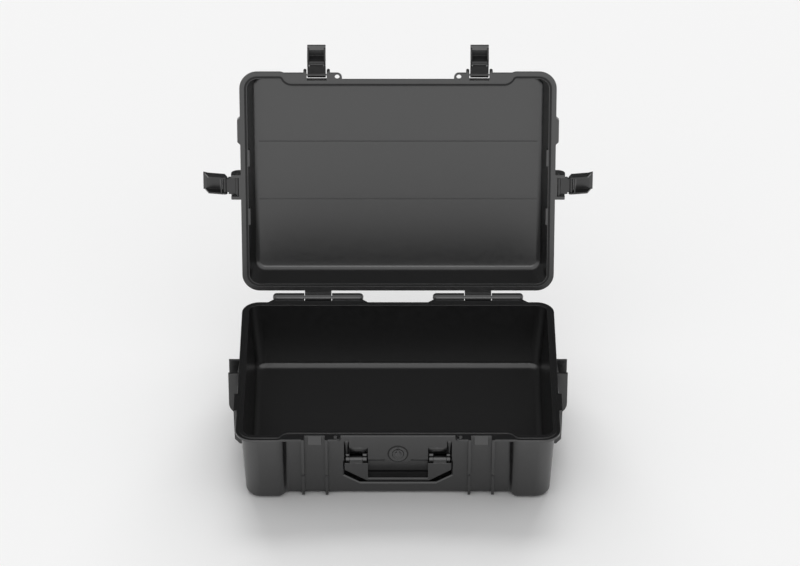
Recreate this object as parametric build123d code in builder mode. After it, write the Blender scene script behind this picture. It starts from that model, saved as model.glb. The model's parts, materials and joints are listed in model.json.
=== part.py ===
from build123d import *
from math import acos, degrees, radians, tan
import os

# Rugged moulded equipment case, shown open. Millimetres, X to the right, Y to the back, Z up.
# The origin is the middle of the face that the case stands on. Everything on the lid is
# modelled as it lies on the shut case, and then swung open about the hinge axis.

# Shells
case_width = 529.0        # across the flanges
case_depth = 396.0        # flanges, front to back
base_height = 122.0       # standing face to the top of the base flange
lid_height = 46.0         # lid rim face to the top of the lid
parting_gap = 1.9         # base flange to lid rim face when the case is shut
flange_thickness = 4.0
flange_overhang = 9.5     # flange beyond the side and back walls
rim_land = 12.5           # flange edge to the mouth of the cavity
floor_thickness = 4.0
draft = 3.1               # degrees, outside of the base
cavity_draft = 5.0        # degrees, inside of the base
lid_draft = 13.5          # degrees, walls of the lid
corner_radius = 30.0      # flange corners, seen from above
bottom_round = 9.0        # outer edge round at the base bottom and at the lid top
floor_round = 11.0        # where the walls meet the floor inside the base
lid_floor_round = 8.0
edge_round = 1.2          # edges of the flanges
wall_bite = 6.0           # how far outer forms reach into the walls of the base
lid_bite = 17.0           # flange edge to the root of outer forms on the lid

# Front step: the front wall lies back between two corner pillars
step_back = 13.2
pillar_width = 67.0       # flange side to the end of the pillar's face
step_radii = 23.3         # sum of the two radii of the step
step_ease = 14.5          # outward radius of the step
step_ease_inside = 11.6   # the same radius at the cavity floor

# Seal
rim_ledge = 5.5           # flange edge to the raised rim
rim_rise = 1.5
gasket_inset = 8.0        # flange edge to the gasket groove
gasket_width = 3.4
gasket_depth = 2.5
seal_clearance = 0.05

# Hinges
hinge_inset = 128.5       # flange side to the middle of a hinge
hinge_setback = 12.0      # hinge axis behind the flange edge
hinge_rise = 1.6          # hinge axis above the base flange
knuckle_radius = 7.0
lid_knuckle = 45.0
base_knuckle = 53.5
knuckle_gap = 1.2
knuckle_end_round = 6.5
knuckle_foot = 9.0        # web at the flange beyond the knuckle's free end
gusset_drop = 31.5        # hinge axis to the foot of the gusset on the back wall
hinge_pin_radius = 2.5
lid_open = 101.0          # degrees, as shown

# Latches: pivot in the lid ears, joint between link and lever, hook under the catch lip
latch_inset = 129.0       # flange side to the middle of a front latch
side_latch_y = 9.0
latch_half = 15.25
latch_inner_half = 12.5   # between the lever's side walls
latch_side_gap = 0.5      # between the lever's side walls and the link
pivot_out = 6.0           # pivot outside the rim edge
pivot_rise = 6.0          # pivot above the lid rim face
link_length = 22.0
front_lever_length = 28.0  # joint to tail
side_lever_length = 41.0
latch_barrel = 3.2
latch_eye = 4.6           # lever's side walls round the joint
latch_pin_radius = 1.5
pin_clearance = 0.05
lever_out = 13.0          # joint to the outside of the back plate
lever_in = 5.0            # joint to the case side of the side walls
lever_plate = 2.5
lever_shoulder = 3.0      # joint to where the side walls reach their full depth
lever_tail = 4.0          # back plate beyond the side walls
lever_taper = 14.0        # tail to where the side walls get narrower
link_plate = 3.0
link_plate_shift = 1.0    # plate in front of the pivot
link_heel = 5.3           # plate beyond the pivot
link_shoulder = 6.5       # joint to where the plate gets wide
link_wall = 2.5
link_back = 10.0          # side walls of the link behind its pins
hook_depth = 5.2
hook_thickness = 4.0
hook_gap = 0.4
catch_reach = 2.8         # catch lip outside the rim edge
catch_lip = 1.0
catch_half = 11.5
front_latch_open = 74.0   # degrees from shut to open
side_latch_open = 102.0
ear_inner_half = 16.8
ear_thickness = 5.4
front_ear_reach = 15.1
side_ear_reach = 16.5
ear_height = 24.0
ear_chamfer = 1.5
ear_round = 2.2           # sides of the front ears' noses
ear_bridge = 12.0         # height of the block between the front ears
ear_notch = 2.0           # block behind the rim edge
bead_out = 0.5            # bead of the lid flange between the side ears
bead_rise = 1.8
bead_size = 3.4

# Guards beside the latches
rib_spacing = 38.5
rib_thickness = 4.5
rib_reach = 13.0
rib_foot_reach = 7.5
rib_break = 50.0          # height where the rib steps back
fin_thickness = 4.0
fin_reach = 17.0
fin_length = 78.0
plate_reach = 10.9        # front flange plates outside the stepped rim edge
eyelet_gap = 34.2         # front latch to eyelet
eyelet_setback = 4.4      # eyelet centre outside the stepped rim edge
eyelet_radius = 4.1
eyelet_end = 8.1

# Side bosses
boss_front = -116.0
boss_back = -68.0
boss_reach = 4.7
boss_base_length = 62.0
boss_lid_length = 10.0

# Lid inside
tab_length = 30.0
tab_reach = 3.0
tab_height = 14.0
tab_lip = 5.0
tab_centres = (-43.8, 62.3)
line_centres = (-58.4, 46.6)
line_width = 1.7
line_depth = 1.0
panel_margin = 48.0       # flange edge to the sunk panels in the lid's top
panel_gap = 7.0
panel_corner = 8.0
panel_depth = 1.2

# Handle and its pocket
handle_half = 87.0
arm_width = 38.0
grip_height = 6.0
handle_depth = 17.0
handle_drop = 43.0        # pivot to the underside of the grip
handle_front = 5.4        # pivot to the handle's front face
arm_top = 5.7             # pivot down to the top of the arms
arm_corner = 32.0         # width of the arm's slanted lower corner
arm_corner_rise = 20.0
arm_bevel = 3.0           # front of the slanted lower corner
pivot_height = 70.0
barrel_radius = 5.0
barrel_end = 8.1          # side of the handle to the end of its barrel
barrel_length = 21.0
lug_end = 2.0             # sides of the arm to the ends of the lugs
lug_gap = 0.4
handle_pin_radius = 2.0
pocket_gap = 1.0          # between handle and pocket, sides
pocket_under_gap = 3.5    # between grip and pocket floor
pocket_back_gap = 1.0
pocket_above = 7.0        # pocket ceiling over the arms above the pivot
pocket_middle = 2.0       # pocket's upper edge between the arms above the pivot
pocket_corner = 24.5      # width of the pocket's slanted lower corner
pocket_corner_rise = 15.5
pocket_bevel = 1.8        # lower and side edges of the pocket
pocket_lip_half = 14.0    # lip that hangs under the valve
pocket_lip_drop = 7.0
notch_height = 20.0
notch_depth = 10.0
notch_end = 7.6           # side of the handle to the end of the notch
wedge_height = 33.0
wedge_depth = 8.0         # at the foot
wedge_top_depth = 2.0
pocket_wall = 3.5

# Pressure valve
valve_height = 84.0
valve_radius = 15.0
valve_flange = 3.4
valve_seat_depth = 2.6
valve_seat_gap = 0.4
valve_edge_round = 0.8
valve_shank_radius = 6.0
shank_gap = 0.1
shank_end = 1.0           # shank beyond the nut
knob_radius = 9.0
knob_well_gap = 0.6
knob_well_depth = 1.4
knob_lift = 0.4           # knob clear of the bottom of its well
knob_edge_round = 0.6
knob_height = 4.0
stem_radius = 3.2
nut_radius = 8.0
nut_thickness = 4.0
nut_gap = 0.4
seal_inset = 2.0          # valve edge to the groove of its seal
seal_wire = 0.9
oring_wire = 0.5
oring_gap = 0.05          # stem O-ring in its groove

# Worked out from the above
half_width = case_width / 2
half_depth = case_depth / 2
slope = tan(radians(draft))
lid_slope = tan(radians(lid_draft))
step_turn = degrees(acos(1 - step_back / step_radii))
front_rim = -half_depth + step_back               # stepped rim edge between the pillars
lid_base = base_height + parting_gap              # lid rim face on the shut case
lid_top = lid_base + lid_height
side_wall = half_width - flange_overhang
back_wall = half_depth - flange_overhang
wall_corner = corner_radius - 4
pillar_end = half_width - pillar_width
hinge_centre = half_width - hinge_inset
latch_centre = half_width - latch_inset
eyelet_x = latch_centre - eyelet_gap
grip_half = handle_half - arm_width
barrel_outer = handle_half - barrel_end
barrel_inner = barrel_outer - barrel_length
lug_inner = grip_half + lug_end
lug_outer = handle_half - lug_end
notch_outer = handle_half - notch_end
hinge_y = half_depth + hinge_setback
hinge_z = base_height + hinge_rise
hinge_axis = Axis((0, hinge_y, hinge_z), (1, 0, 0))
pivot_z = lid_base + pivot_rise
joint_z = pivot_z - link_length
hook_top = joint_z - latch_barrel - hook_gap
catch_under = hook_top + hook_gap
handle_tilt = draft


def wall_front(z):
    """Y of the stepped front wall at height z of the base."""
    return front_rim + (base_height - z) * slope


handle_y = wall_front(pivot_height) + handle_front
pocket_back = wall_front(pivot_height - handle_drop) + handle_depth + pocket_back_gap


def case_outline(side, back, front, corner, ease):
    """Rounded rectangle, seen from above, whose front steps back between the pillars."""
    with BuildSketch() as outline:
        with BuildLine():
            rear = Line((0, back), (side - corner, back))
            rear_corner = JernArc(rear @ 1, (1, 0), corner, -90)
            flank = Line(rear_corner @ 1, (side, front + corner))
            front_corner = JernArc(flank @ 1, (0, -1), corner, -90)
            pillar = Line(front_corner @ 1, (pillar_end, front))
            outer_ease = JernArc(pillar @ 1, (-1, 0), ease, -step_turn)
            inner_ease = JernArc(outer_ease @ 1, outer_ease % 1, step_radii - ease, step_turn)
            Line(inner_ease @ 1, (0, (inner_ease @ 1).Y))
            mirror(about=Plane.YZ)
        make_face()
    return outline.sketch


def rim_outline(inset):
    """Outline that runs a fixed distance inside the flange edge."""
    return case_outline(half_width - inset, half_depth - inset, inset - half_depth,
                        corner_radius - inset, step_ease - inset)


def wall_outline(shrink):
    """Outside of the base's walls, shrunk by the draft."""
    return case_outline(side_wall - shrink, back_wall - shrink, shrink - half_depth,
                        wall_corner, step_ease)


def lid_outline(shrink, ease):
    """Outside of the lid's walls, shrunk by their slope."""
    inset = flange_overhang + shrink
    return case_outline(half_width - inset, half_depth - inset, inset - half_depth,
                        corner_radius - flange_overhang, ease)


def cavity_outline(shrink, ease):
    """Inside of the walls of either shell, shrunk by their slope."""
    inset = rim_land + shrink
    return case_outline(half_width - inset, half_depth - inset, inset - half_depth,
                        corner_radius - rim_land, ease)


def front_plate():
    """Flange plate in front of the stepped wall with a rounded padlock end, right side, from above."""
    front = front_rim - plate_reach
    end = eyelet_x - eyelet_end
    with BuildSketch() as plate:
        with BuildLine():
            edge = Line((pillar_end, front), (end + eyelet_end, front))
            tip = JernArc(edge @ 1, (-1, 0), eyelet_end, -90)
            Polyline(tip @ 1, (end, front_rim + 1), (pillar_end, front_rim + 1), (pillar_end, front))
        make_face()
        with Locations((eyelet_x, front_rim - eyelet_setback)):
            Circle(eyelet_radius, mode=Mode.SUBTRACT)
        with Locations((latch_centre, front)):
            Rectangle(2 * ear_inner_half, 2 * plate_reach, mode=Mode.SUBTRACT)
    return plate.sketch


# Cavities of the two shells
cavity_slope = tan(radians(cavity_draft))
base_run = (base_height - floor_thickness) * cavity_slope
with BuildPart() as base_cavity:
    with BuildSketch(Plane.XY.offset(floor_thickness)):
        add(cavity_outline(base_run, step_ease_inside))
    with BuildSketch(Plane.XY.offset(base_height + rim_rise)):
        add(cavity_outline(-rim_rise * cavity_slope, step_ease - rim_land))
    loft(ruled=True)
    fillet(base_cavity.edges().group_by(Axis.Z)[0], floor_round)

lid_run = (lid_height - floor_thickness) * lid_slope
with BuildPart() as lid_cavity:
    with BuildSketch(Plane.XY.offset(lid_base)):
        add(cavity_outline(0, step_ease - rim_land))
    with BuildSketch(Plane.XY.offset(lid_top - floor_thickness)):
        add(cavity_outline(lid_run, step_ease_inside))
    loft(ruled=True)
    fillet(lid_cavity.edges().group_by(Axis.Z)[-1], lid_floor_round)

# Ear for one side of a front latch
with BuildPart() as front_ear:
    with BuildSketch(Plane.YZ) as ear_profile:
        with BuildLine():
            nose = front_rim - front_ear_reach
            ear_root = front_rim + lid_bite
            Polyline((ear_root, lid_base), (nose, lid_base), (nose, lid_base + 2 * pivot_rise),
                     (front_rim, lid_base + ear_height), (ear_root, lid_base + ear_height),
                     (ear_root, lid_base))
        make_face()
        fillet(ear_profile.vertices().sort_by(Axis.X)[:2], pivot_rise * 0.9)
    extrude(amount=ear_thickness / 2, both=True)
    sides = front_ear.edges().filter_by(lambda edge: abs(edge.center().X) > 1)
    fillet(sides.filter_by(lambda edge: edge.center().Y < front_rim), ear_round)
    with BuildSketch(Plane.YZ):
        with Locations((front_rim - pivot_out, pivot_z)):
            Circle(latch_pin_radius + pin_clearance)
    extrude(amount=ear_thickness, both=True, mode=Mode.SUBTRACT)

# Base flange with rounded edges
with BuildPart() as base_flange:
    with BuildSketch(Plane.XY.offset(base_height - flange_thickness)):
        add(rim_outline(0))
    extrude(amount=flange_thickness)
    fillet(base_flange.edges().group_by(Axis.Z)[-1], edge_round)

with BuildPart() as lid_flange:
    with BuildSketch(Plane.XY.offset(lid_base)):
        add(rim_outline(0))
    extrude(amount=flange_thickness)
    fillet(lid_flange.edges().group_by(Axis.Z)[-1], edge_round)

# One outer knuckle of the base, with its free end rounded
with BuildPart() as base_knuckle_barrel:
    with BuildSketch(Plane.YZ):
        Circle(knuckle_radius)
    extrude(amount=base_knuckle)
    fillet(base_knuckle_barrel.edges().group_by(Axis.X)[-1], knuckle_end_round)

# Swelling inside the front wall that closes the handle pocket
with BuildPart() as pocket_cover:
    with BuildSketch(Plane.XZ.offset(-(front_rim + rim_land - 1))):
        with BuildLine():
            cover_half = handle_half + pocket_gap + pocket_wall
            cover_top = pivot_height + pocket_above + pocket_wall
            cover_inner = grip_half - pocket_wall
            cover_middle = pivot_height + pocket_middle + pocket_wall
            Polyline((0, floor_thickness / 2), (cover_half, floor_thickness / 2), (cover_half, cover_top),
                     (cover_inner, cover_top), (cover_inner, cover_middle), (0, cover_middle))
            mirror(about=Plane.YZ)
        make_face()
    extrude(amount=-(pocket_back + pocket_wall - front_rim - rim_land + 1))
    fillet(pocket_cover.faces().sort_by(Axis.Y)[-1].edges(), pocket_wall)

# Base shell
with BuildPart() as base_shell:
    wall_height = base_height - flange_thickness
    with BuildSketch():
        add(wall_outline(wall_height * slope))
    with BuildSketch(Plane.XY.offset(wall_height)):
        add(wall_outline(0))
    loft(ruled=True)
    fillet(base_shell.edges().group_by(Axis.Z)[0], bottom_round)
    add(base_flange.part)
    with BuildSketch(Plane.XY.offset(base_height)):
        add(rim_outline(rim_ledge))
    extrude(amount=rim_rise)

    # flange plates with padlock eyelets
    with BuildSketch(Plane.XY.offset(base_height - flange_thickness)):
        add(front_plate())
        mirror(about=Plane.YZ)
    extrude(amount=flange_thickness)

    # ribs on both sides of each front latch
    for side in (-1, 1):
        for rib in (-1, 1):
            rib_x = side * (latch_centre + rib * rib_spacing / 2)
            with BuildSketch(Plane.YZ.offset(rib_x)):
                with BuildLine():
                    Polyline((front_rim + rim_land / 2, base_height), (front_rim - rib_reach, base_height),
                             (wall_front(rib_break) - rib_reach, rib_break),
                             (wall_front(rib_break) - rib_foot_reach, rib_break - rib_foot_reach),
                             (wall_front(0) - rib_foot_reach, rib_foot_reach / 2),
                             (wall_front(0) - rib_foot_reach / 2, 0), (wall_front(0) + bottom_round, 0),
                             (front_rim + rim_land / 2, base_height))
                make_face()
            extrude(amount=rib_thickness / 2, both=True)

    # fins on both sides of each side latch
    for fin in (-1, 1):
        with BuildSketch(Plane.XZ.offset(-side_latch_y - fin * rib_spacing / 2)):
            with BuildLine():
                fin_edge = half_width + fin_reach
                fin_foot = base_height - fin_length
                drop = Line((fin_edge, base_height), (fin_edge, fin_foot + fin_reach))
                curve = JernArc(drop @ 1, (0, -1), fin_reach * 1.3, -60)
                Polyline(curve @ 1, (side_wall - rim_land / 2, fin_foot - rim_land / 2),
                         (side_wall - rim_land / 2, base_height), (fin_edge, base_height))
            make_face()
            mirror(about=Plane.YZ)
        extrude(amount=fin_thickness / 2, both=True)

    # bosses on the sides
    with BuildSketch(Plane.XZ.offset(-boss_back)):
        with BuildLine():
            boss_edge = half_width + boss_reach
            boss_root = side_wall - wall_bite
            boss_foot = base_height - boss_base_length
            Polyline((boss_root, base_height), (boss_edge, base_height),
                     (boss_edge - boss_base_length * slope / 3, boss_foot + boss_reach),
                     (boss_edge - 2 * boss_reach, boss_foot - boss_reach),
                     (boss_root, boss_foot - boss_reach), (boss_root, base_height))
        make_face()
        mirror(about=Plane.YZ)
    extrude(amount=boss_back - boss_front)

    # catch lips for the four latches
    for side in (-1, 1):
        with BuildSketch(Plane.YZ.offset(side * latch_centre)):
            with BuildLine():
                catch_root = front_rim + wall_bite / 2
                Polyline((catch_root, catch_under), (front_rim - catch_reach, catch_under),
                         (front_rim - catch_reach, catch_under + catch_lip),
                         (front_rim, base_height - edge_round), (catch_root, base_height - edge_round),
                         (catch_root, catch_under))
            make_face()
        extrude(amount=catch_half, both=True)
    with BuildSketch(Plane.XZ.offset(-side_latch_y)):
        with BuildLine():
            catch_root = side_wall - wall_bite / 2
            catch_edge = half_width + catch_reach
            Polyline((catch_root, catch_under), (catch_edge, catch_under),
                     (catch_edge, catch_under + catch_lip), (half_width, base_height - edge_round),
                     (catch_root, base_height - edge_round), (catch_root, catch_under))
        make_face()
        mirror(about=Plane.YZ)
    extrude(amount=catch_half, both=True)

    # hinge knuckles on a gusset of the back wall, whose web spreads at the flange
    knuckle_start = lid_knuckle / 2 + knuckle_gap
    gusset_half = knuckle_start + base_knuckle - knuckle_end_round
    for side in (-1, 1):
        with BuildSketch(Plane.YZ.offset(side * hinge_centre)):
            with BuildLine():
                gusset_root = back_wall - wall_bite
                Polyline((gusset_root, base_height), (hinge_y, base_height),
                         (hinge_y + knuckle_radius * 0.7, hinge_z - knuckle_radius * 0.7),
                         (half_depth, hinge_z - gusset_drop * 2 / 3),
                         (gusset_root, hinge_z - gusset_drop), (gusset_root, base_height))
            make_face()
        extrude(amount=gusset_half, both=True)
        with BuildSketch(Plane.XY.offset(base_height - flange_thickness)):
            with BuildLine():
                web_end = gusset_half + knuckle_end_round + knuckle_foot
                web_side = [(side * hinge_centre + end * x, y) for end in (-1, 1)
                            for x, y in ((web_end, half_depth - 2), (gusset_half, hinge_y))]
                Polyline(web_side[0], web_side[1], web_side[3], web_side[2], web_side[0])
            make_face()
        extrude(amount=flange_thickness)
        with BuildSketch(Plane.YZ.offset(side * hinge_centre)):
            with Locations((hinge_y, hinge_z)):
                Circle(knuckle_radius + knuckle_gap)
        extrude(amount=knuckle_start, both=True, mode=Mode.SUBTRACT)
        for end in (-1, 1):
            turned = Plane((side * hinge_centre + end * knuckle_start, hinge_y, hinge_z),
                           x_dir=(end, 0, 0), z_dir=(0, 0, 1))
            add(turned.location * base_knuckle_barrel.part)
    add(base_cavity.part, mode=Mode.SUBTRACT)
    add(pocket_cover.part)

    # handle pocket, notches above the barrels and slanted reliefs beside them
    pocket_half = handle_half + pocket_gap
    pocket_floor = pivot_height - handle_drop - pocket_under_gap
    pocket_ceiling = pivot_height + pocket_above
    with BuildSketch(Plane.XZ.offset(half_depth)):
        with BuildLine():
            pocket_edge = pivot_height + pocket_middle
            Polyline((0, pocket_floor), (handle_half - pocket_corner, pocket_floor),
                     (pocket_half, pocket_floor + pocket_corner_rise), (pocket_half, pocket_ceiling),
                     (grip_half, pocket_ceiling), (grip_half, pocket_edge),
                     (pocket_lip_half + pocket_lip_drop, pocket_edge),
                     (pocket_lip_half, pocket_edge - pocket_lip_drop), (0, pocket_edge - pocket_lip_drop))
            mirror(about=Plane.YZ)
        make_face()
    extrude(amount=-(half_depth + pocket_back), mode=Mode.SUBTRACT)
    wall_face = Plane((0, wall_front(0), 0), x_dir=(1, 0, 0), z_dir=(0, -1, -slope))
    for depth, spread in ((1, pocket_bevel + 1), (-pocket_bevel, 0)):
        with BuildSketch(wall_face.offset(depth)):
            with BuildLine():
                Polyline((0, pocket_floor - spread), (handle_half - pocket_corner, pocket_floor - spread),
                         (pocket_half + spread, pocket_floor + pocket_corner_rise - spread / 2),
                         (pocket_half + spread, pivot_height), (0, pivot_height))
                mirror(about=Plane.YZ)
            make_face()
    loft(mode=Mode.SUBTRACT)
    notch_back = wall_front(pocket_ceiling) + notch_depth
    wedge_top = pocket_ceiling + wedge_height
    for side in (-1, 1):
        with BuildSketch(Plane.XZ.offset(half_depth)):
            with Locations((side * (grip_half + notch_outer) / 2, pocket_ceiling + notch_height / 2 - 1)):
                Rectangle(notch_outer - grip_half, notch_height + 2)
        extrude(amount=-(half_depth + notch_back), mode=Mode.SUBTRACT)
        with BuildSketch(Plane.YZ.offset(side * (notch_outer + pocket_half) / 2)):
            with BuildLine():
                wedge_foot = wall_front(pocket_ceiling) + wedge_depth
                Polyline((-half_depth, pocket_ceiling - 1), (wedge_foot, pocket_ceiling - 1),
                         (wedge_foot, pocket_ceiling), (wall_front(wedge_top) + wedge_top_depth, wedge_top),
                         (-half_depth, wedge_top), (-half_depth, pocket_ceiling - 1))
            make_face()
        extrude(amount=(pocket_half - notch_outer) / 2 - 0.25, both=True, mode=Mode.SUBTRACT)

    # lugs that carry the handle pins
    for side in (-1, 1):
        for inner, outer in ((lug_inner, barrel_inner - lug_gap), (barrel_outer + lug_gap, lug_outer)):
            with BuildSketch(Plane.YZ.offset(side * inner)):
                with Locations((handle_y, pivot_height)):
                    Circle(barrel_radius)
                with BuildLine():
                    lug_under = pivot_height - barrel_radius
                    Polyline((handle_y, lug_under), (pocket_back + 1, lug_under),
                             (pocket_back + 1, pocket_ceiling + 1), (handle_y + 2, pocket_ceiling + 1),
                             (handle_y, pivot_height + barrel_radius), (handle_y, lug_under))
                make_face()
            extrude(amount=side * (outer - inner))
    for side in (-1, 1):
        with BuildSketch(Plane.YZ.offset(side * (lug_inner - lug_gap))):
            with Locations((handle_y, pivot_height)):
                Circle(handle_pin_radius + pin_clearance)
        extrude(amount=side * (lug_outer - lug_inner + 2 * lug_gap), mode=Mode.SUBTRACT)

    # hinge pin bores
    for side in (-1, 1):
        with BuildSketch(Plane.YZ.offset(side * hinge_centre)):
            with Locations((hinge_y, hinge_z)):
                Circle(hinge_pin_radius + pin_clearance)
        extrude(amount=lid_knuckle / 2 + knuckle_gap + base_knuckle + 1, both=True, mode=Mode.SUBTRACT)

    # valve seat, bore and the flat that its nut pulls on
    valve_seat = wall_front(valve_height) + valve_seat_depth
    nut_seat = front_rim + rim_land - 1.5 + (base_height - valve_height - nut_radius) * slope
    with BuildSketch(Plane.XZ.offset(half_depth)):
        with Locations((0, valve_height)):
            Circle(valve_radius + valve_seat_gap)
    extrude(amount=-(half_depth + valve_seat), mode=Mode.SUBTRACT)
    with BuildSketch(Plane.XZ.offset(half_depth)):
        with Locations((0, valve_height)):
            Circle(valve_shank_radius + shank_gap)
    extrude(amount=-(half_depth + nut_seat + wall_bite), mode=Mode.SUBTRACT)
    with BuildSketch(Plane.XZ.offset(-nut_seat)):
        with Locations((0, valve_height)):
            Circle(nut_radius + nut_gap)
    extrude(amount=-nut_thickness * 1.5, mode=Mode.SUBTRACT)

# Lid shell, as it lies on the shut case
with BuildPart() as lid_shell:
    with BuildSketch(Plane.XY.offset(lid_base + flange_thickness)):
        add(lid_outline(0, step_ease - flange_overhang))
    with BuildSketch(Plane.XY.offset(lid_top)):
        add(lid_outline(lid_run, step_ease_inside + rim_land - flange_overhang))
    loft(ruled=True)
    fillet(lid_shell.edges().group_by(Axis.Z)[-1], bottom_round)
    add(lid_flange.part)
    with BuildSketch(Plane.XY.offset(lid_base)):
        add(front_plate())
        mirror(about=Plane.YZ)
    extrude(amount=flange_thickness)

    # ears for the front latches, with a block between them that lies a little behind the rim edge
    for side in (-1, 1):
        for ear in (-1, 1):
            ear_x = side * latch_centre + ear * (ear_inner_half + ear_thickness / 2)
            add(front_ear.part.moved(Location((ear_x, 0, 0))))
        with BuildSketch(Plane.YZ.offset(side * latch_centre)):
            with Locations((front_rim - 1, lid_base - 1)):
                Rectangle(1 + ear_notch, ear_bridge + 1, align=(Align.MIN, Align.MIN))
        extrude(amount=ear_inner_half, both=True, mode=Mode.SUBTRACT)
        with BuildSketch(Plane.YZ.offset(side * latch_centre)):
            with Locations((front_rim + ear_notch, lid_base)):
                Rectangle(lid_bite - ear_notch, ear_bridge, align=(Align.MIN, Align.MIN))
        extrude(amount=ear_inner_half, both=True)

    # ears for the side latches, with a low bead of the flange between them
    for ear in (-1, 1):
        ear_y = side_latch_y + ear * (ear_inner_half + ear_thickness / 2)
        with BuildSketch(Plane.XZ.offset(-ear_y)) as side_ear:
            with BuildLine():
                nose = half_width + side_ear_reach
                ear_root = half_width - lid_bite
                Polyline((ear_root, lid_base), (nose - ear_chamfer, lid_base),
                         (nose, lid_base + ear_chamfer), (nose, lid_base + ear_height),
                         (ear_root, lid_base + ear_height), (ear_root, lid_base))
            make_face()
            fillet(side_ear.vertices().sort_by(Axis((0, 0, 0), (1, 1, 0)))[-1:], side_ear_reach * 0.8)
            with Locations((half_width + pivot_out, pivot_z)):
                Circle(latch_pin_radius + pin_clearance, mode=Mode.SUBTRACT)
            mirror(about=Plane.YZ)
        extrude(amount=ear_thickness / 2, both=True)
    for side in (-1, 1):
        with BuildSketch(Plane.XZ.offset(-side_latch_y)):
            with Locations((side * (half_width + bead_out), lid_base + bead_rise)):
                SlotCenterToCenter(bead_size, bead_size)
        extrude(amount=ear_inner_half, both=True)

    # short bosses on the sides, with slanted ends
    with BuildSketch(Plane.XY.offset(lid_base)):
        with BuildLine():
            lid_root = half_width - lid_bite
            Polyline((lid_root, boss_front), (half_width, boss_front), (boss_edge, boss_front + boss_reach),
                     (boss_edge, boss_back - boss_reach), (half_width, boss_back), (lid_root, boss_back),
                     (lid_root, boss_front))
        make_face()
        mirror(about=Plane.YZ)
    extrude(amount=boss_lid_length)

    # middle hinge knuckles
    for side in (-1, 1):
        with BuildSketch(Plane.YZ.offset(side * hinge_centre)):
            with Locations((hinge_y, hinge_z)):
                Circle(knuckle_radius)
            with BuildLine():
                strap_root = half_depth - lid_bite
                Polyline((strap_root, lid_base), (hinge_y, lid_base), (hinge_y, hinge_z + knuckle_radius),
                         (half_depth, lid_base + 2 * knuckle_radius),
                         (strap_root, lid_base + 2.5 * knuckle_radius), (strap_root, lid_base))
            make_face()
        extrude(amount=lid_knuckle / 2, both=True)
    add(lid_cavity.part, mode=Mode.SUBTRACT)
    for side in (-1, 1):
        with BuildSketch(Plane.YZ.offset(side * hinge_centre)):
            with Locations((hinge_y, hinge_z)):
                Circle(hinge_pin_radius + pin_clearance)
        extrude(amount=lid_knuckle / 2 + 1, both=True, mode=Mode.SUBTRACT)

    # gasket groove in the rim face
    with BuildSketch(Plane.XY.offset(lid_base)):
        add(rim_outline(gasket_inset - seal_clearance))
        add(rim_outline(gasket_inset + gasket_width + seal_clearance), mode=Mode.SUBTRACT)
    extrude(amount=gasket_depth, mode=Mode.SUBTRACT)

    # small tabs on the inner side walls
    for tab_y in tab_centres:
        with BuildSketch(Plane.XZ.offset(-tab_y)):
            with BuildLine():
                mouth = half_width - rim_land
                tab_edge = mouth - tab_reach
                tab_end = lid_base + tab_height
                Polyline((mouth + 1, lid_base), (tab_edge, lid_base), (tab_edge, lid_base + tab_lip),
                         (mouth - 1, tab_end), (mouth + 1, tab_end), (mouth + 1, lid_base))
            make_face()
            mirror(about=Plane.YZ)
        extrude(amount=tab_length / 2, both=True)

    # two fine lines across the inner floor, and the panels outside that they lie between
    with BuildSketch(Plane.XY.offset(lid_top - floor_thickness)):
        for line_y in line_centres:
            with Locations((0, line_y)):
                Rectangle(2 * (half_width - rim_land - lid_run - lid_floor_round), line_width)
    extrude(amount=line_depth, mode=Mode.SUBTRACT)
    panel_rows = (panel_margin - half_depth, *line_centres, half_depth - panel_margin)
    with BuildSketch(Plane.XY.offset(lid_top)):
        for low, high in zip(panel_rows, panel_rows[1:]):
            with Locations((0, (low + high) / 2)):
                RectangleRounded(2 * (half_width - panel_margin), high - low - panel_gap, panel_corner)
    extrude(amount=-panel_depth, mode=Mode.SUBTRACT)

# Seal in the lid's rim
with BuildPart() as lid_gasket:
    with BuildSketch(Plane.XY.offset(lid_base)):
        add(rim_outline(gasket_inset))
        add(rim_outline(gasket_inset + gasket_width), mode=Mode.SUBTRACT)
    extrude(amount=gasket_depth)

# Hinge pin, through two base knuckles and the lid knuckle between them
with BuildPart() as hinge_pin:
    hinge_pin_length = lid_knuckle + 2 * (knuckle_gap + base_knuckle) - 2
    with BuildSketch(Plane.YZ.offset(-hinge_pin_length / 2)):
        Circle(hinge_pin_radius)
    extrude(amount=hinge_pin_length)
    chamfer(hinge_pin.edges(), hinge_pin_radius / 5)

# Latch pieces stand with their pivot at the origin, hanging down as on the shut case, with
# the case on their +Y side
with BuildPart() as latch_link:
    with BuildSketch(Plane.YZ):
        Circle(latch_barrel)
        with Locations((-link_plate_shift, link_heel)):
            Rectangle(link_plate, link_heel + link_length - link_shoulder, align=(Align.CENTER, Align.MAX))
    extrude(amount=latch_half, both=True)
    with BuildSketch(Plane.YZ):
        with Locations((-link_plate_shift, -link_length)):
            Rectangle(link_plate, 2 * link_shoulder, align=(Align.CENTER, Align.MIN))
        with Locations((0, -link_length)):
            Circle(latch_barrel)
    link_half = latch_inner_half - latch_side_gap
    extrude(amount=link_half, both=True)
    for side in (-1, 1):
        with BuildSketch(Plane.YZ.offset(side * (link_half - link_wall))):
            with BuildLine():
                Polyline((0, 0), (-latch_barrel, 0), (-link_back, -link_length / 4),
                         (-link_back, link_back - link_length), (-latch_barrel, -link_length),
                         (0, -link_length), (0, 0))
            make_face()
        extrude(amount=side * link_wall)
    with BuildSketch(Plane.YZ):
        with Locations((0, 0), (0, -link_length)):
            Circle(latch_pin_radius + pin_clearance)
    extrude(amount=latch_half + 1, both=True, mode=Mode.SUBTRACT)


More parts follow.
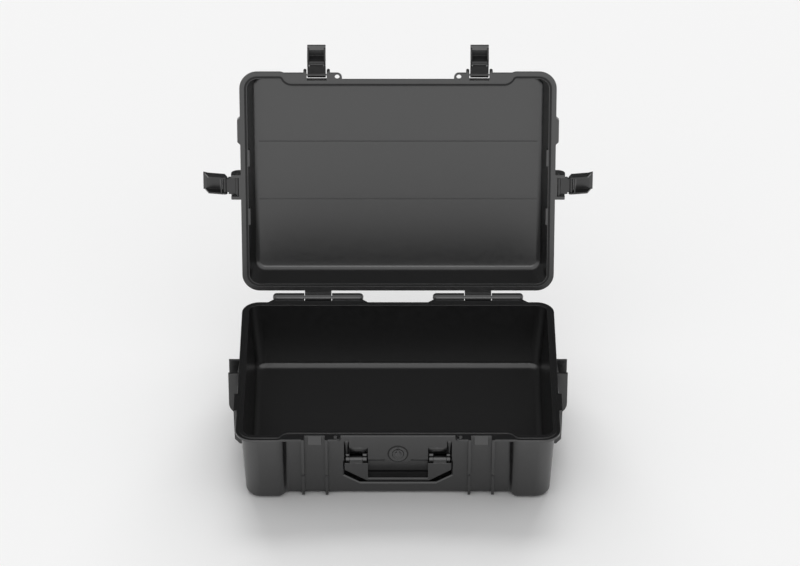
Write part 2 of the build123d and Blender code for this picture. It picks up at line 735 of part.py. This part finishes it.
def latch_lever(lever_length):
    """Lever with its hook, in line with the link."""
    tail = -link_length - lever_length
    shoulder = -link_length - lever_shoulder
    plate_inside = lever_plate - lever_out
    with BuildPart() as lever:
        for side in (-1, 1):
            with BuildSketch(Plane.YZ.offset(side * latch_inner_half)):
                with Locations((0, -link_length)):
                    Circle(latch_eye)
                with BuildLine():
                    eye_edge = latch_eye * 0.7
                    Polyline((-lever_out, shoulder), (-eye_edge, -link_length + eye_edge),
                             (eye_edge, -link_length + eye_edge), (lever_in, shoulder),
                             (lever_in, tail + lever_taper), (plate_inside, tail + lever_tail),
                             (-lever_out, tail + lever_tail), (-lever_out, shoulder))
                make_face()
            extrude(amount=side * (latch_half - latch_inner_half))
        with BuildSketch(Plane.YZ):
            with BuildLine():
                Polyline((-lever_out, shoulder), (plate_inside, shoulder),
                         (plate_inside, tail + lever_taper / 2), (-lever_out - lever_plate / 2, tail),
                         (-lever_out - lever_plate * 1.3, tail), (-lever_out, tail + 2 * lever_tail),
                         (-lever_out, shoulder))
            make_face()
        extrude(amount=latch_half, both=True)
        with BuildSketch(Plane.YZ):
            with BuildLine():
                hook_edge = -link_length - latch_barrel - hook_gap
                hook_root = 1 - lever_out
                Polyline((hook_root, hook_edge), (hook_depth, hook_edge),
                         (hook_depth, hook_edge - hook_thickness / 2),
                         (hook_depth - hook_thickness / 2, hook_edge - hook_thickness),
                         (hook_root, hook_edge - hook_thickness * 1.5), (hook_root, hook_edge))
            make_face()
        extrude(amount=latch_inner_half + 0.5, both=True)
        with BuildSketch(Plane.YZ):
            with Locations((0, -link_length)):
                Circle(latch_pin_radius + pin_clearance)
        extrude(amount=latch_half + 1, both=True, mode=Mode.SUBTRACT)
    return lever.part


front_lever = latch_lever(front_lever_length)
side_lever = latch_lever(side_lever_length)

with BuildPart() as latch_pivot_pin:
    with BuildSketch(Plane.YZ):
        Circle(latch_pin_radius)
    extrude(amount=ear_inner_half + ear_thickness, both=True)

with BuildPart() as latch_joint_pin:
    with BuildSketch(Plane.YZ):
        with Locations((0, -link_length)):
            Circle(latch_pin_radius)
    extrude(amount=latch_half, both=True)

# Folding handle: two arms and a grip, hung on two barrels
with BuildPart() as front_handle:
    with BuildSketch(Plane.XZ.offset(handle_front - handle_y)):
        with BuildLine():
            grip_under = pivot_height - handle_drop
            Polyline((0, grip_under), (handle_half - arm_corner, grip_under),
                     (handle_half, grip_under + arm_corner_rise), (handle_half, pivot_height - arm_top),
                     (grip_half, pivot_height - arm_top), (grip_half, grip_under + grip_height),
                     (0, grip_under + grip_height))
            mirror(about=Plane.YZ)
        make_face()
    extrude(amount=-handle_depth)
    arm_front = front_handle.faces().sort_by(Axis.Y)[0].edges()
    slants = [edge for edge in arm_front if abs((edge @ 1 - edge @ 0).X * (edge @ 1 - edge @ 0).Z) > 1]
    chamfer(slants, arm_bevel)
    grip_rows = front_handle.edges().filter_by(Axis.X).group_by(Axis.Z)
    fillet(grip_rows[0] + grip_rows[1], grip_height * 0.25)
    for side in (-1, 1):
        with BuildSketch(Plane.YZ.offset(side * barrel_inner)):
            with Locations((handle_y, pivot_height)):
                Circle(barrel_radius)
            with Locations((handle_y, pivot_height - arm_top / 2 - 0.5)):
                Rectangle(2 * barrel_radius, arm_top + 1)
            with Locations((handle_y, pivot_height)):
                Circle(handle_pin_radius + pin_clearance, mode=Mode.SUBTRACT)
        extrude(amount=side * (barrel_outer - barrel_inner))
front_handle.part = front_handle.part.rotate(Axis((0, handle_y, pivot_height), (1, 0, 0)), handle_tilt)

with BuildPart() as handle_pin:
    with BuildSketch(Plane.YZ.offset(lug_inner)):
        with Locations((handle_y, pivot_height)):
            Circle(handle_pin_radius)
    extrude(amount=lug_outer - lug_inner)

# Pressure valve: body through the wall, seal under its flange, nut inside, knob with its stem
with BuildPart() as valve_body:
    with BuildSketch(Plane.XZ.offset(-valve_seat)):
        with Locations((0, valve_height)):
            Circle(valve_radius)
    extrude(amount=valve_flange)
    fillet(valve_body.edges().group_by(Axis.Y)[0], valve_edge_round)
    with BuildSketch(Plane.XZ.offset(-valve_seat)):
        with Locations((0, valve_height)):
            Circle(valve_shank_radius)
    shank_length = nut_seat + nut_thickness + shank_end - valve_seat
    extrude(amount=-shank_length)
    with BuildSketch(Plane.XZ.offset(-valve_seat + valve_flange)):
        with Locations((0, valve_height)):
            Circle(knob_radius + knob_well_gap)
    extrude(amount=-knob_well_depth, mode=Mode.SUBTRACT)
    seal_outer = valve_radius - seal_inset
    with BuildSketch(Plane.XZ.offset(-valve_seat)):
        with Locations((0, valve_height)):
            Circle(seal_outer)
            Circle(seal_outer - 2 * (seal_wire + seal_clearance), mode=Mode.SUBTRACT)
    extrude(amount=2 * seal_wire, mode=Mode.SUBTRACT)
    with BuildSketch(Plane.XZ.offset(-valve_seat + valve_flange)):
        with Locations((0, valve_height)):
            Circle(stem_radius + pin_clearance)
    extrude(amount=-(valve_flange + shank_length), mode=Mode.SUBTRACT)

with BuildPart() as valve_body_seal:
    seal_ring = Plane((0, valve_seat - seal_wire, valve_height), x_dir=(1, 0, 0), z_dir=(0, -1, 0))
    with Locations(seal_ring):
        Torus(seal_outer - seal_wire - seal_clearance, seal_wire)

with BuildPart() as valve_nut:
    with BuildSketch(Plane.XZ.offset(-nut_seat)):
        with Locations((0, valve_height)):
            RegularPolygon(nut_radius, 6)
            Circle(valve_shank_radius + pin_clearance, mode=Mode.SUBTRACT)
    extrude(amount=-nut_thickness)

with BuildPart() as valve_knob:
    knob_seat = valve_seat - valve_flange + knob_well_depth - knob_lift
    stem_length = nut_seat + nut_thickness - knob_seat
    with BuildSketch(Plane.XZ.offset(-knob_seat)):
        with Locations((0, valve_height)):
            Circle(knob_radius)
    extrude(amount=knob_height / 2)
    fillet(valve_knob.edges().group_by(Axis.Y)[0], knob_edge_round)
    with BuildSketch(Plane.XZ.offset(-knob_seat + knob_height / 2)):
        with Locations((0, valve_height)):
            Circle(knob_radius * 0.6)
            Rectangle(knob_radius * 0.45, knob_radius * 1.8)
    extrude(amount=knob_height / 2)
    with BuildSketch(Plane.XZ.offset(-knob_seat)):
        with Locations((0, valve_height)):
            Circle(stem_radius)
    extrude(amount=-stem_length)
    groove_front = knob_seat + stem_length / 3
    with BuildSketch(Plane.XZ.offset(-groove_front)):
        with Locations((0, valve_height)):
            Circle(stem_radius + 1)
            Circle(stem_radius - 2 * oring_wire, mode=Mode.SUBTRACT)
    extrude(amount=-2 * (oring_wire + oring_gap), mode=Mode.SUBTRACT)

with BuildPart() as valve_stem_oring:
    oring_y = groove_front + oring_wire + oring_gap
    with Locations(Plane((0, oring_y, valve_height), x_dir=(1, 0, 0), z_dir=(0, -1, 0))):
        Torus(stem_radius - oring_wire + 0.02, oring_wire)


def write_piece(piece, name):
    """Label a finished solid and write it."""
    piece.label = name
    export_step(piece, f"parts/{name}.step")


# Write every piece, with the lid and what hangs on it swung open
os.makedirs("parts", exist_ok=True)
for piece, name in ((base_shell, "base_shell"), (front_handle, "front_handle"),
                    (valve_body, "valve_body"), (valve_body_seal, "valve_body_seal"),
                    (valve_nut, "valve_nut"), (valve_knob, "valve_knob"),
                    (valve_stem_oring, "valve_stem_oring")):
    write_piece(piece.part, name)
for side, side_name in ((-1, "left"), (1, "right")):
    pin_place = Location((side * hinge_centre, hinge_y, hinge_z))
    write_piece(hinge_pin.part.moved(pin_place), f"hinge_pin_{side_name}")
write_piece(handle_pin.part, "handle_pin_right")
write_piece(handle_pin.part.mirror(Plane.YZ), "handle_pin_left")
for piece, name in ((lid_shell, "lid_shell"), (lid_gasket, "lid_gasket")):
    write_piece(piece.part.rotate(hinge_axis, -lid_open), name)

latch_places = (("front_left", -latch_centre, front_rim - pivot_out, 0, front_latch_open, front_lever),
                ("front_right", latch_centre, front_rim - pivot_out, 0, front_latch_open, front_lever),
                ("side_left", -half_width - pivot_out, side_latch_y, -90, side_latch_open, side_lever),
                ("side_right", half_width + pivot_out, side_latch_y, 90, side_latch_open, side_lever))
for place, pivot_x, pivot_y, turn, latch_open, lever in latch_places:
    ears = Location((pivot_x, pivot_y, pivot_z), (0, 0, turn))
    swung = ears * Location((0, 0, 0), (-latch_open, 0, 0))
    for piece, name, where in ((latch_pivot_pin.part, "latch_pivot_pin", ears),
                               (latch_link.part, "latch_link", swung),
                               (lever, "latch_lever", swung),
                               (latch_joint_pin.part, "latch_joint_pin", swung)):
        write_piece(piece.moved(where).rotate(hinge_axis, -lid_open), f"{name}_{place}")
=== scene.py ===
import bpy
import bmesh
import json
from math import cos, pi, radians, sin
from mathutils import Matrix, Vector


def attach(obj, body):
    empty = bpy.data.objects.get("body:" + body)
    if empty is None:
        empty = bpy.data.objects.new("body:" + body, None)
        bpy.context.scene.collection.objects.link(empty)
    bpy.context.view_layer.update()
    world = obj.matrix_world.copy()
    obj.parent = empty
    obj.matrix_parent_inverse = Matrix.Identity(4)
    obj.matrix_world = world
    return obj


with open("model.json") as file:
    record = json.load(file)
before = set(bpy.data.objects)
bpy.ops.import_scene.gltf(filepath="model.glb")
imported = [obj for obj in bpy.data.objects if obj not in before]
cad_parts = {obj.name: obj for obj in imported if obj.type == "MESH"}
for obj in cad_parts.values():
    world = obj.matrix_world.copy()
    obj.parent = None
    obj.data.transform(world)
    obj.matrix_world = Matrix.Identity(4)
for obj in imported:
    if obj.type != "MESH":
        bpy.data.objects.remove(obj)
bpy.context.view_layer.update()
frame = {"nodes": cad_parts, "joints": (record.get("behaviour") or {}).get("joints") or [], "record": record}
nodes = frame["nodes"]
print("frame loaded:", len(nodes), "nodes")

scene = bpy.context.scene
scene.view_settings.view_transform = "Standard"


def toLinear(code):   # "#rrggbb" as it looks on a screen
    channels = [int(code[i:i + 2], 16) / 255 for i in (1, 3, 5)]
    return (*[c / 12.92 if c <= 0.04045 else ((c + 0.055) / 1.055) ** 2.4 for c in channels], 1)


def addNode(tree, kind, sockets=None, **settings):
    node = tree.nodes.new(kind)
    for name, value in settings.items():
        setattr(node, name, value)
    for socket, value in (sockets or {}).items():
        if isinstance(value, bpy.types.NodeSocket):
            tree.links.new(value, node.inputs[socket])
        else:
            node.inputs[socket].default_value = value
    return node


# Camera, at the height and distance that the photograph was taken from
view = {"target": (0.0033, 0.0615, 0.2539), "distance": 6.671, "elevation": 34.277, "lens": 181.49, "sensor": 36,
        "clipEnd": 60}
cameraData = bpy.data.cameras.new("camera")
cameraData.lens = view["lens"]
cameraData.sensor_width = view["sensor"]
cameraData.clip_end = view["clipEnd"]
camera = bpy.data.objects.new("camera", cameraData)
scene.collection.objects.link(camera)
rise = radians(view["elevation"])
camera.location = Vector(view["target"]) + view["distance"] * Vector((0, -cos(rise), sin(rise)))
camera.rotation_euler = (pi / 2 - rise, 0, 0)
scene.camera = camera

# Floor and light. Reflections see the room bright in front and dim behind: glossTurn gives the y of the
# directions between which it changes, with -1 straight in front and 1 straight behind.
room = {"floorSize": 30, "floorColour": "#f4f4f4", "floorRoughness": 0.9, "floorShine": 0.1,
        "worldColour": "#ffffff", "worldStrength": 0.62, "seenStrength": 1.0,
        "glossFront": 0.83, "glossBack": 0.05, "glossTurn": (-0.05, 0.65)}


def paperMaterial():   # matt studio paper: an even pale ground that takes a soft shadow and no shine
    material = bpy.data.materials.new("studioPaper")
    material.use_nodes = True
    shader = material.node_tree.nodes["Principled BSDF"]
    shader.inputs["Base Color"].default_value = toLinear(room["floorColour"])
    shader.inputs["Roughness"].default_value = room["floorRoughness"]
    shader.inputs["Specular IOR Level"].default_value = room["floorShine"]
    return material


floorMesh = bpy.data.meshes.new("floor")
half = room["floorSize"] / 2
floorCorners = [(-half, -half, 0), (half, -half, 0), (half, half, 0), (-half, half, 0)]
floorMesh.from_pydata(floorCorners, [], [(0, 1, 2, 3)])
floor = bpy.data.objects.new("floor", floorMesh)
scene.collection.objects.link(floor)
floor.data.materials.append(paperMaterial())

world = bpy.data.worlds.new("room")
world.use_nodes = True
scene.world = world
worldTree = world.node_tree
background = worldTree.nodes["Background"]
background.inputs["Color"].default_value = toLinear(room["worldColour"])
way = addNode(worldTree, "ShaderNodeTexCoord")
wayParts = addNode(worldTree, "ShaderNodeSeparateXYZ", {"Vector": way.outputs["Generated"]})
roomGloss = addNode(worldTree, "ShaderNodeMapRange", {
    "Value": wayParts.outputs["Y"], "From Min": room["glossTurn"][0], "From Max": room["glossTurn"][1],
    "To Min": room["glossFront"], "To Max": room["glossBack"]}, interpolation_type="SMOOTHSTEP")
path = addNode(worldTree, "ShaderNodeLightPath")
lit = addNode(worldTree, "ShaderNodeMix", {0: path.outputs["Is Glossy Ray"], 2: room["worldStrength"],
                                           3: roomGloss.outputs["Result"]})
shown = addNode(worldTree, "ShaderNodeMix", {0: path.outputs["Is Camera Ray"], 2: lit.outputs[0],
                                             3: room["seenStrength"]})
worldTree.links.new(shown.outputs[0], background.inputs["Strength"])

# Height above the horizon, turn from the front and width are in degrees.
lamps = {
    "lampBack": {"height": 35, "turn": 180, "width": 40, "strength": 2.2, "matt": True, "gloss": False},
    "lampFront": {"height": 15, "turn": 0, "width": 25, "strength": 0.2, "matt": False, "gloss": True},
}
for name, lamp in lamps.items():
    lampData = bpy.data.lights.new(name, "SUN")
    lampData.energy = lamp["strength"]
    lampData.angle = radians(lamp["width"])
    lampObject = bpy.data.objects.new(name, lampData)
    lampObject.rotation_euler = (radians(90 - lamp["height"]), 0, radians(lamp["turn"]))
    lampObject.visible_diffuse = lamp["matt"]   # lights matt surfaces
    lampObject.visible_glossy = lamp["gloss"]   # shows in reflections
    scene.collection.objects.link(lampObject)
print("camera, floor and", len(lamps), "lamps")


# Finishes. Sizes of patterns are in millimetres on the real case. The grain of a mould is about 0.1 mm and
# wouldn't show, so every grain is drawn coarser. Shine is the Specular IOR Level, with 0.5 as the plain value,
# and both it and the IOR are raised until the plastic mirrors the floor as strongly as in the photograph.
# Case plastic: black polypropylene from a smooth mould. It is nearly black and gives a soft mirror of the floor,
# with a faint unevenness where it shrank, and a painted highlight that makes its rounded edges slightly greyer.
shellPlastic = {"name": "mouldedPolypropylene", "colour": "#0b0b0c", "tint": "#101011", "drift": 40,
                "ior": 1.58, "shine": 1.0, "roughness": 0.3, "roughnessSpread": 0.05, "mottleRange": (0.3, 0.7),
                "grain": 0.6, "grainDepth": 0.006, "ripple": 9, "rippleDepth": 0.008,
                "edge": 1.0, "edgeHighlightColour": "#19191a", "edgeHighlightTurn": 0.8, "edgeHighlightMost": 0.6}
# Latches: black nylon, stiffer and finer in grain than the shells, so darker, with small crisp lights.
latchPlastic = dict(shellPlastic, name="latchNylon", colour="#0a0a0b", tint="#0f0f10", shine=0.7, grain=0.35)
# Handle: the same polypropylene, rubbed a little grey by hands.
handlePlastic = dict(shellPlastic, name="handlePolypropylene", colour="#0e0e0f", tint="#131314")
# Valve: black nylon with the smoothest face on the case, so it stands out a shade lighter from the wall.
valvePlastic = dict(shellPlastic, name="valveNylon", colour="#161617", tint="#1b1b1c", roughness=0.26, grain=0.3)
# Seals: black rubber. It is matt, so it stays a dark line beside the plastic, with a fainter painted highlight on
# its edges.
sealRubber = dict(shellPlastic, name="gasketRubber", colour="#080809", tint="#0c0c0d", roughness=0.72, shine=0.5,
                  grain=0.25, edge=0.3, edgeHighlightColour="#161617")


def plasticMaterial(look):
    material = bpy.data.materials.new(look["name"])
    material.use_nodes = True
    tree = material.node_tree
    shader = tree.nodes["Principled BSDF"]
    shader.inputs["IOR"].default_value = look["ior"]
    shader.inputs["Specular IOR Level"].default_value = look["shine"]
    place = addNode(tree, "ShaderNodeTexCoord").outputs["Object"]
    drift = addNode(tree, "ShaderNodeTexNoise", {"Vector": place, "Scale": 1000 / look["drift"], "Detail": 4})
    mottle = addNode(tree, "ShaderNodeTexNoise", {"Vector": place, "Scale": 1000 / look["ripple"], "Detail": 3})
    grain = addNode(tree, "ShaderNodeTexNoise", {"Vector": place, "Scale": 1000 / look["grain"], "Detail": 2})
    rounded = addNode(tree, "ShaderNodeBevel", {"Radius": look["edge"] / 1000}, samples=4)
    flat = addNode(tree, "ShaderNodeNewGeometry")
    match = addNode(tree, "ShaderNodeVectorMath", {0: rounded.outputs["Normal"], 1: flat.outputs["Normal"]},
                    operation="DOT_PRODUCT")
    # Painted highlight: where the rounded normal turns away from the flat one, the colour is mixed towards a
    # lighter grey, as if the edges caught the light.
    edge = addNode(tree, "ShaderNodeMapRange", {
        "Value": match.outputs["Value"], "From Min": 1.0, "From Max": look["edgeHighlightTurn"],
        "To Min": 0.0, "To Max": look["edgeHighlightMost"]})
    base = addNode(tree, "ShaderNodeMix", {"Factor": drift.outputs["Fac"], 6: toLinear(look["colour"]),
                                           7: toLinear(look["tint"])}, data_type="RGBA")
    paintedEdgeHighlight = addNode(tree, "ShaderNodeMix", {"Factor": edge.outputs["Result"], 6: base.outputs[2],
                                           7: toLinear(look["edgeHighlightColour"])}, data_type="RGBA")
    tree.links.new(paintedEdgeHighlight.outputs[2], shader.inputs["Base Color"])
    spread = look["roughnessSpread"] / 2
    rough = addNode(tree, "ShaderNodeMapRange", {
        "Value": mottle.outputs["Fac"], "From Min": look["mottleRange"][0], "From Max": look["mottleRange"][1],
        "To Min": look["roughness"] - spread, "To Max": look["roughness"] + spread})
    tree.links.new(rough.outputs["Result"], shader.inputs["Roughness"])
    ripple = addNode(tree, "ShaderNodeBump", {"Height": mottle.outputs["Fac"], "Normal": rounded.outputs["Normal"],
                                              "Distance": look["rippleDepth"] / 1000})
    fine = addNode(tree, "ShaderNodeBump", {"Height": grain.outputs["Fac"], "Normal": ripple.outputs["Normal"],
                                            "Distance": look["grainDepth"] / 1000})
    tree.links.new(fine.outputs["Normal"], shader.inputs["Normal"])
    return material


# Pins: turned steel, bright grey with a broken shine from the tool's fine marks, drawn coarser than they are.
pinSteel = {"name": "turnedSteel", "colour": "#8e8f92", "tint": "#a5a6a8", "marks": 0.8, "smoothest": 0.26,
            "roughest": 0.42}


def steelMaterial(look):
    material = bpy.data.materials.new(look["name"])
    material.use_nodes = True
    tree = material.node_tree
    shader = tree.nodes["Principled BSDF"]
    shader.inputs["Metallic"].default_value = 1
    place = addNode(tree, "ShaderNodeTexCoord").outputs["Object"]
    marks = addNode(tree, "ShaderNodeTexNoise", {"Vector": place, "Scale": 1000 / look["marks"], "Detail": 3})
    colour = addNode(tree, "ShaderNodeMix", {"Factor": marks.outputs["Fac"], 6: toLinear(look["colour"]),
                                             7: toLinear(look["tint"])}, data_type="RGBA")
    tree.links.new(colour.outputs[2], shader.inputs["Base Color"])
    rough = addNode(tree, "ShaderNodeMapRange", {"Value": marks.outputs["Fac"], "To Min": look["smoothest"],
                                                 "To Max": look["roughest"]})
    tree.links.new(rough.outputs["Result"], shader.inputs["Roughness"])
    return material


finishes = {"shell_plastic": plasticMaterial(shellPlastic), "latch_plastic": plasticMaterial(latchPlastic),
            "handle_plastic": plasticMaterial(handlePlastic), "valve_plastic": plasticMaterial(valvePlastic),
            "seal_rubber": plasticMaterial(sealRubber), "pin_steel": steelMaterial(pinSteel)}
for part in frame["record"]["subparts"]:
    partMesh = nodes[part["node"]].data
    partMesh.materials.clear()
    partMesh.materials.append(finishes[part["material_slot"]])
print("finishes:", len(finishes))


def finishedPiece(name, mesh, body, slot):   # mesh in metres, in the frame of the open case
    mesh.materials.clear()
    mesh.materials.append(finishes[slot])
    piece = bpy.data.objects.new(name, mesh)
    scene.collection.objects.link(piece)
    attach(piece, body)


# Grip bars across the outside of the latch levers. start is the first bar's distance from the lever's pin and
# plateOut the height of the lever's plate over that pin.
gripBars = {"width": 0.021, "height": 0.0013, "proud": 0.0007, "sunk": 0.0004, "pitch": 0.0028, "start": 0.0085,
            "plateOut": 0.013, "edge": 0.0003, "edgeSteps": 2, "counts": {"front": 5, "side": 9}}


def gripBarTree():
    tree = bpy.data.node_groups.new("gripBars", "GeometryNodeTree")
    face = tree.interface
    sizes = {}
    for label, kind in (("Count", "NodeSocketInt"), ("Pitch", "NodeSocketFloat"), ("Width", "NodeSocketFloat"),
                        ("Height", "NodeSocketFloat"), ("Depth", "NodeSocketFloat")):
        sizes[label] = face.new_socket(label, in_out="INPUT", socket_type=kind).identifier
    face.new_socket("Geometry", in_out="OUTPUT", socket_type="NodeSocketGeometry")
    inputs = addNode(tree, "NodeGroupInput").outputs
    pitch = addNode(tree, "ShaderNodeCombineXYZ", {"Y": inputs["Pitch"]})
    row = addNode(tree, "GeometryNodeMeshLine", {"Count": inputs["Count"], "Offset": pitch.outputs["Vector"]})
    size = addNode(tree, "ShaderNodeCombineXYZ", {"X": inputs["Width"], "Y": inputs["Height"],
                                                  "Z": inputs["Depth"]})
    bar = addNode(tree, "GeometryNodeMeshCube", {"Size": size.outputs["Vector"]})
    copies = addNode(tree, "GeometryNodeInstanceOnPoints", {"Points": row.outputs["Mesh"],
                                                            "Instance": bar.outputs["Mesh"]})
    solid = addNode(tree, "GeometryNodeRealizeInstances", {"Geometry": copies.outputs["Instances"]})
    coat = addNode(tree, "GeometryNodeSetMaterial", {"Geometry": solid.outputs["Geometry"],
                                                     "Material": finishes["latch_plastic"]})
    addNode(tree, "NodeGroupOutput", {"Geometry": coat.outputs["Geometry"]})
    return tree, sizes


barTree, barSizes = gripBarTree()
barBase = bpy.data.objects.new("barBase", bpy.data.meshes.new("barBase"))
scene.collection.objects.link(barBase)
pivots = {joint["child"]: joint for joint in frame["joints"]}
for place, count in gripBars["counts"].items():
    for side in ("left", "right"):
        joint, carrier = pivots[f"lever_{place}_{side}"], pivots[f"link_{place}_{side}"]
        corner, across = Vector(joint["pos_m"]), Vector(joint["axis"]).normalized()
        along = (corner - Vector(carrier["pos_m"])).normalized()
        outward = across.cross(along)
        modifier = barBase.modifiers.new("gripBars", "NODES")
        modifier.node_group = barTree
        for label, value in (("Count", count), ("Pitch", gripBars["pitch"]), ("Width", gripBars["width"]),
                             ("Height", gripBars["height"]), ("Depth", gripBars["proud"] + gripBars["sunk"])):
            modifier[barSizes[label]] = value
        edges = barBase.modifiers.new("edges", "BEVEL")
        edges.width = gripBars["edge"]
        edges.segments = gripBars["edgeSteps"]
        mesh = bpy.data.meshes.new_from_object(barBase.evaluated_get(bpy.context.evaluated_depsgraph_get()))
        barBase.modifiers.clear()
        middle = corner + along * gripBars["start"] + outward * (
            gripBars["plateOut"] + (gripBars["proud"] - gripBars["sunk"]) / 2)
        turn = Matrix((across, along, outward)).transposed().to_4x4()
        mesh.transform(Matrix.Translation(middle) @ turn)
        if turn.determinant() < 0:
            mesh.flip_normals()
        finishedPiece(f"lever_grip_{place}_{side}", mesh, f"lever_{place}_{side}", "latch_plastic")
bpy.data.objects.remove(barBase)
print("grip bars on the latch levers")

# Moulded slopes above the handle's barrels and beside them, and the lips over its pocket. Each profile runs
# down the slope as (y, z), and the fill reaches sunk metres into the wall behind it.
slopes = {
    "handle_slope": {"x": (0.0488, 0.0796), "sunk": 0.0003, "profile": (
        (-0.18342, 0.0972), (-0.18332, 0.0945), (-0.1827, 0.0915), (-0.1813, 0.0885), (-0.1792, 0.0855),
        (-0.1767, 0.0825), (-0.1742, 0.0797), (-0.1722, 0.0772))},
    "handle_relief": {"x": (0.0797, 0.0878), "sunk": 0.0003, "profile": (
        (-0.1841, 0.1102), (-0.1839, 0.1075), (-0.1832, 0.104), (-0.1818, 0.099), (-0.1801, 0.0935),
        (-0.1783, 0.088), (-0.1766, 0.0825), (-0.175, 0.0772))},
    "pocket_lip": {"x": (0.0216, 0.0492), "sunk": 0.0003, "profile": (
        (-0.18205, 0.0722), (-0.1815, 0.0708), (-0.1797, 0.0687), (-0.1772, 0.0664), (-0.1745, 0.0645))},
}


def slopeMesh(name, near, far, slope):
    profile = slope["profile"]
    back = max(y for y, z in profile) + slope["sunk"]
    top, foot = profile[0][1], profile[-1][1]
    shape = bmesh.new()
    rows = [[shape.verts.new((x, y, z)) for y, z in profile] for x in (near, far)]
    ends = [[shape.verts.new((x, back, foot)), shape.verts.new((x, back, top))] for x in (near, far)]
    for i in range(len(profile) - 1):
        shape.faces.new((rows[0][i], rows[0][i + 1], rows[1][i + 1], rows[1][i])).smooth = True
    shape.faces.new((rows[0][-1], ends[0][0], ends[1][0], rows[1][-1]))
    shape.faces.new((ends[0][0], ends[0][1], ends[1][1], ends[1][0]))
    shape.faces.new((ends[0][1], rows[0][0], rows[1][0], ends[1][1]))
    for row, end in zip(rows, ends):
        shape.faces.new(row + end)
    bmesh.ops.recalc_face_normals(shape, faces=shape.faces)
    mesh = bpy.data.meshes.new(name)
    shape.to_mesh(mesh)
    shape.free()
    return mesh


for name, slope in slopes.items():
    for side, sign in (("left", -1), ("right", 1)):
        near, far = (sign * x for x in slope["x"])
        mesh = slopeMesh(f"{name}_{side}", near, far, slope)
        finishedPiece(f"{name}_{side}", mesh, "case_base", "shell_plastic")
print("slopes round the handle pocket")

# Rubber ring round the valve, leaning with the front wall
valveRing = {"centre": (0, -0.18274, 0.084), "lean": 3.1, "radius": 0.0157, "wire": 0.0014, "wireSteps": 20,
             "steps": 96, "weld": 0.00001}
ringShape = bmesh.new()
wire = bmesh.ops.create_circle(ringShape, segments=valveRing["wireSteps"], radius=valveRing["wire"])["verts"]
upright = Matrix.Translation((valveRing["radius"], 0, 0)) @ Matrix.Rotation(pi / 2, 4, "X")
bmesh.ops.transform(ringShape, matrix=upright, verts=wire)
bmesh.ops.spin(ringShape, geom=ringShape.verts[:] + ringShape.edges[:], axis=(0, 0, 1), angle=2 * pi,
               steps=valveRing["steps"])
bmesh.ops.remove_doubles(ringShape, verts=ringShape.verts, dist=valveRing["weld"])
bmesh.ops.recalc_face_normals(ringShape, faces=ringShape.faces)
ringMesh = bpy.data.meshes.new("valve_ring")
ringShape.to_mesh(ringMesh)
ringShape.free()
ringTurn = Matrix.Rotation(pi / 2 + radians(valveRing["lean"]), 4, "X")
ringMesh.transform(Matrix.Translation(valveRing["centre"]) @ ringTurn)
ringMesh.polygons.foreach_set("use_smooth", [True] * len(ringMesh.polygons))
finishedPiece("valve_ring", ringMesh, "case_base", "seal_rubber")

# Small raised arrow that shows where the valve's knob is shut
valveMark = {"aboveCentre": 0.0123, "size": 0.0016, "face": -0.18354, "proud": 0.0004, "sunk": 0.0005,
             "edge": 0.00015, "edgeSteps": 2}
markShape = bmesh.new()
size, middleZ = valveMark["size"], valveRing["centre"][2] + valveMark["aboveCentre"]
corners = ((-size, middleZ + size), (size, middleZ + size), (0, middleZ - size))
front = [markShape.verts.new((x, valveMark["face"] - valveMark["proud"], z)) for x, z in corners]
back = [markShape.verts.new((x, valveMark["face"] + valveMark["sunk"], z)) for x, z in corners]
markShape.faces.new(front)
markShape.faces.new(back[::-1])
for i in range(3):
    markShape.faces.new((front[i], back[i], back[(i + 1) % 3], front[(i + 1) % 3]))
bmesh.ops.bevel(markShape, geom=markShape.edges[:], offset=valveMark["edge"], segments=valveMark["edgeSteps"],
                affect="EDGES")
bmesh.ops.recalc_face_normals(markShape, faces=markShape.faces)
markMesh = bpy.data.meshes.new("valve_mark")
markShape.to_mesh(markMesh)
markShape.free()
finishedPiece("valve_mark", markMesh, "case_base", "valve_plastic")
print("valve ring and mark")
